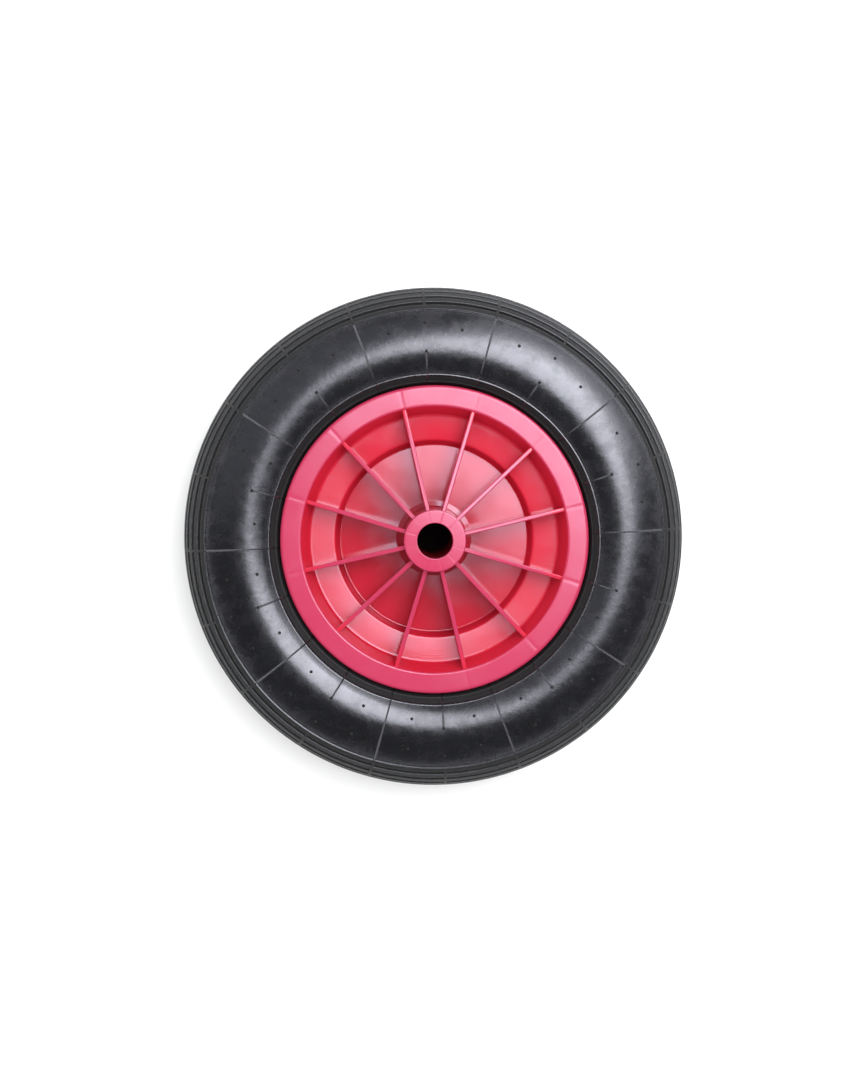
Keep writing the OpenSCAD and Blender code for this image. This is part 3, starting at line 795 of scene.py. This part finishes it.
class WHEEL_OT_stage(bpy.types.Operator):
    """Lay the floor, hang the soft lights and place the camera over the wheel"""

    bl_idname = "wheel.stage"
    bl_label = "Studio"

    def execute(self, context):
        scene, stage = context.scene, context.scene.wheel_stage
        bm = bmesh.new()
        bmesh.ops.create_circle(bm, cap_ends=True, radius=4.0, segments=96)
        bmesh.ops.translate(bm, verts=bm.verts, vec=(0, 0, cad_box[0].z - metres(0.2)))
        edge = [e for e in bm.edges if e.is_boundary]
        grown = bmesh.ops.extrude_edge_only(bm, edges=edge)["geom"]
        bmesh.ops.translate(bm, verts=[g for g in grown if isinstance(g, bmesh.types.BMVert)], vec=(0, 0, 2.2))
        mesh = bpy.data.meshes.new("floor and wall")
        bm.to_mesh(mesh)
        bm.free()
        floor = bpy.data.objects.new("floor and wall", mesh)
        scene.collection.objects.link(floor)
        paper, tree = new_material("white paper sweep")
        seen = add(tree, "ShaderNodeLightPath")
        mirrored = add(
            tree, "ShaderNodeMath", {0: seen.outputs["Is Transmission Ray"], 1: seen.outputs["Is Glossy Ray"]},
            operation="MAXIMUM",
        )
        either = add(
            tree, "ShaderNodeMath", {0: seen.outputs["Is Camera Ray"], 1: mirrored.outputs[0]}, operation="MAXIMUM"
        )
        # painted shade: under the hub the floor gets no lift and is painted nearly black, so the bore looks dark
        spot = add(tree, "ShaderNodeTexCoord").outputs["Object"]
        flat = add(tree, "ShaderNodeVectorMath", {0: spot, 1: (1.0, 1.0, 0.0)}, operation="MULTIPLY")
        away = add(tree, "ShaderNodeVectorMath", {0: flat.outputs["Vector"]}, operation="LENGTH")
        open_floor = add(
            tree, "ShaderNodeMapRange", {"Value": away.outputs["Value"], "From Min": 0.03, "From Max": 0.06}
        )
        shown = add(tree, "ShaderNodeMath", {0: either.outputs[0], 1: open_floor.outputs[0]}, operation="MULTIPLY")
        # painted shade: nearly black under the hub, white paper elsewhere
        floor_colour_with_painted_shade = add(
            tree, "ShaderNodeMix", {"Factor": open_floor.outputs[0], "A": srgb("#1c1414"), "B": srgb("#e6e6e6")},
            data_type="RGBA",
        )
        # painted light and shade in the floor's glow: it is strongest round the wheel, fainter further off, and fainter
        # still on the side away from the lamps
        towards = add(tree, "ShaderNodeVectorMath", {0: spot, 1: (-0.4, 1.0, 0.0)}, operation="DOT_PRODUCT")
        side = add(
            tree, "ShaderNodeMapRange",
            {"Value": towards.outputs["Value"], "From Min": -1.5, "From Max": 0.5, "To Min": 0.12, "To Max": 0.7},
        )
        far = add(
            tree, "ShaderNodeMapRange",
            {"Value": away.outputs["Value"], "From Min": 0.4, "From Max": 1.6, "To Min": 0.12,
             "To Max": side.outputs[0]},
        )
        # painted light: the glow's strength follows that painted falloff
        lift = add(tree, "ShaderNodeMath", {0: shown.outputs[0], 1: far.outputs[0]}, operation="MULTIPLY")
        matt = add(tree, "ShaderNodeBsdfDiffuse", {"Color": floor_colour_with_painted_shade.outputs["Result"]})
        glow = add(tree, "ShaderNodeEmission", {"Color": (1, 1, 1, 1), "Strength": lift.outputs[0]})
        both = add(tree, "ShaderNodeAddShader", {0: matt.outputs[0], 1: glow.outputs[0]})
        add(tree, "ShaderNodeOutputMaterial", {"Surface": both.outputs[0]})
        mesh.materials.append(paper)

        world = bpy.data.worlds.new("studio")
        scene.world = world
        world.use_nodes = True
        sky = world.node_tree
        sky.nodes.clear()
        # the room's pale walls fill the shade, and stay too dim to be mirrored
        ray = add(sky, "ShaderNodeLightPath")
        level = add(
            sky, "ShaderNodeMapRange",
            {"Value": ray.outputs["Is Diffuse Ray"], "To Min": stage.sky_strength, "To Max": stage.fill_strength},
        )
        light = add(sky, "ShaderNodeBackground", {"Color": (1, 1, 1, 1), "Strength": level.outputs[0]})
        add(sky, "ShaderNodeOutputWorld", {"Surface": light.outputs[0]})

        def panel(name, power, centre, size, colour, shape="RECTANGLE", turn=0.0):
            """A soft panel under the ceiling, facing straight down."""
            data = bpy.data.lights.new(name, "AREA")
            data.shape = shape
            data.size, data.size_y = size
            data.energy = power
            data.color = colour
            obj = bpy.data.objects.new(name, data)
            obj.location = centre
            obj.rotation_euler.z = turn
            scene.collection.objects.link(obj)

        cool = (0.98, 0.99, 1.0)
        slant = math.radians(49)
        panel("key panel", stage.key_power, (0.384, 0.442, 1.25), (1.2, 0.75), cool, "ELLIPSE", slant)
        panel("round panel", stage.key_power * 0.33, (0.535, 0.595, 1.26), (1.3, 1.3), cool, "ELLIPSE")
        panel("back panel", stage.key_power * 0.62, (1.0, 1.1, 1.27), (1.3, 1.3), cool)
        panel("fill panel", stage.key_power * 0.18, (-0.85, 0.80, 1.25), (1.5, 1.5), (0.95, 0.97, 1.0))

        data = bpy.data.cameras.new("camera")
        data.sensor_fit = "AUTO"
        data.sensor_width = 36.0
        data.lens = 50.53
        data.clip_start, data.clip_end = 0.05, 50.0
        camera = bpy.data.objects.new("camera", data)
        roll = Matrix.Rotation(stage.camera_roll, 3, "Z")
        aim = roll @ Vector((metres(-0.85), metres(-1.65), 0))
        lean = Vector((-math.sin(math.radians(1.2)), math.sin(stage.camera_tilt), 1)).normalized()
        back = roll @ lean
        up = roll @ Vector((0, 1, 0))
        right = up.cross(back).normalized()
        up = back.cross(right)
        turn = Matrix((right, up, back)).transposed()
        camera.matrix_world = Matrix.Translation(aim + back * stage.camera_distance) @ turn.to_4x4()
        scene.collection.objects.link(camera)
        scene.camera = camera
        scene.view_settings.view_transform = "Standard"
        return {"FINISHED"}


class WHEEL_PT_panel(bpy.types.Panel):
    """The wheel's pieces and settings in the sidebar"""

    bl_idname = "WHEEL_PT_panel"
    bl_label = "Trolley Wheel"
    bl_space_type = "VIEW_3D"
    bl_region_type = "UI"
    bl_category = "Wheel"

    def draw(self, context):
        for settings in (context.scene.wheel_rim, context.scene.wheel_tyre, context.scene.wheel_stage):
            box = self.layout.box()
            for key in settings.__annotations__:
                box.prop(settings, key)
        for op in OPERATORS:
            self.layout.operator(op.bl_idname)


SETTINGS = {"wheel_rim": WheelRimSettings, "wheel_tyre": WheelTyreSettings, "wheel_stage": WheelStageSettings}
OPERATORS = (WHEEL_OT_rim, WHEEL_OT_tyre, WHEEL_OT_tyre_marks, WHEEL_OT_valve, WHEEL_OT_stage)


def register():
    for cls in (*SETTINGS.values(), *OPERATORS, WHEEL_PT_panel):
        bpy.utils.register_class(cls)
    for name, cls in SETTINGS.items():
        setattr(bpy.types.Scene, name, bpy.props.PointerProperty(type=cls))


def unregister():
    for name in SETTINGS:
        delattr(bpy.types.Scene, name)
    for cls in reversed((*SETTINGS.values(), *OPERATORS, WHEEL_PT_panel)):
        bpy.utils.unregister_class(cls)


def main():
    register()
    bpy.ops.wheel.rim()
    bpy.ops.wheel.tyre()
    bpy.ops.wheel.tyre_marks()
    bpy.ops.wheel.valve()
    bpy.ops.wheel.stage()


if __name__ == "__main__":
    main()
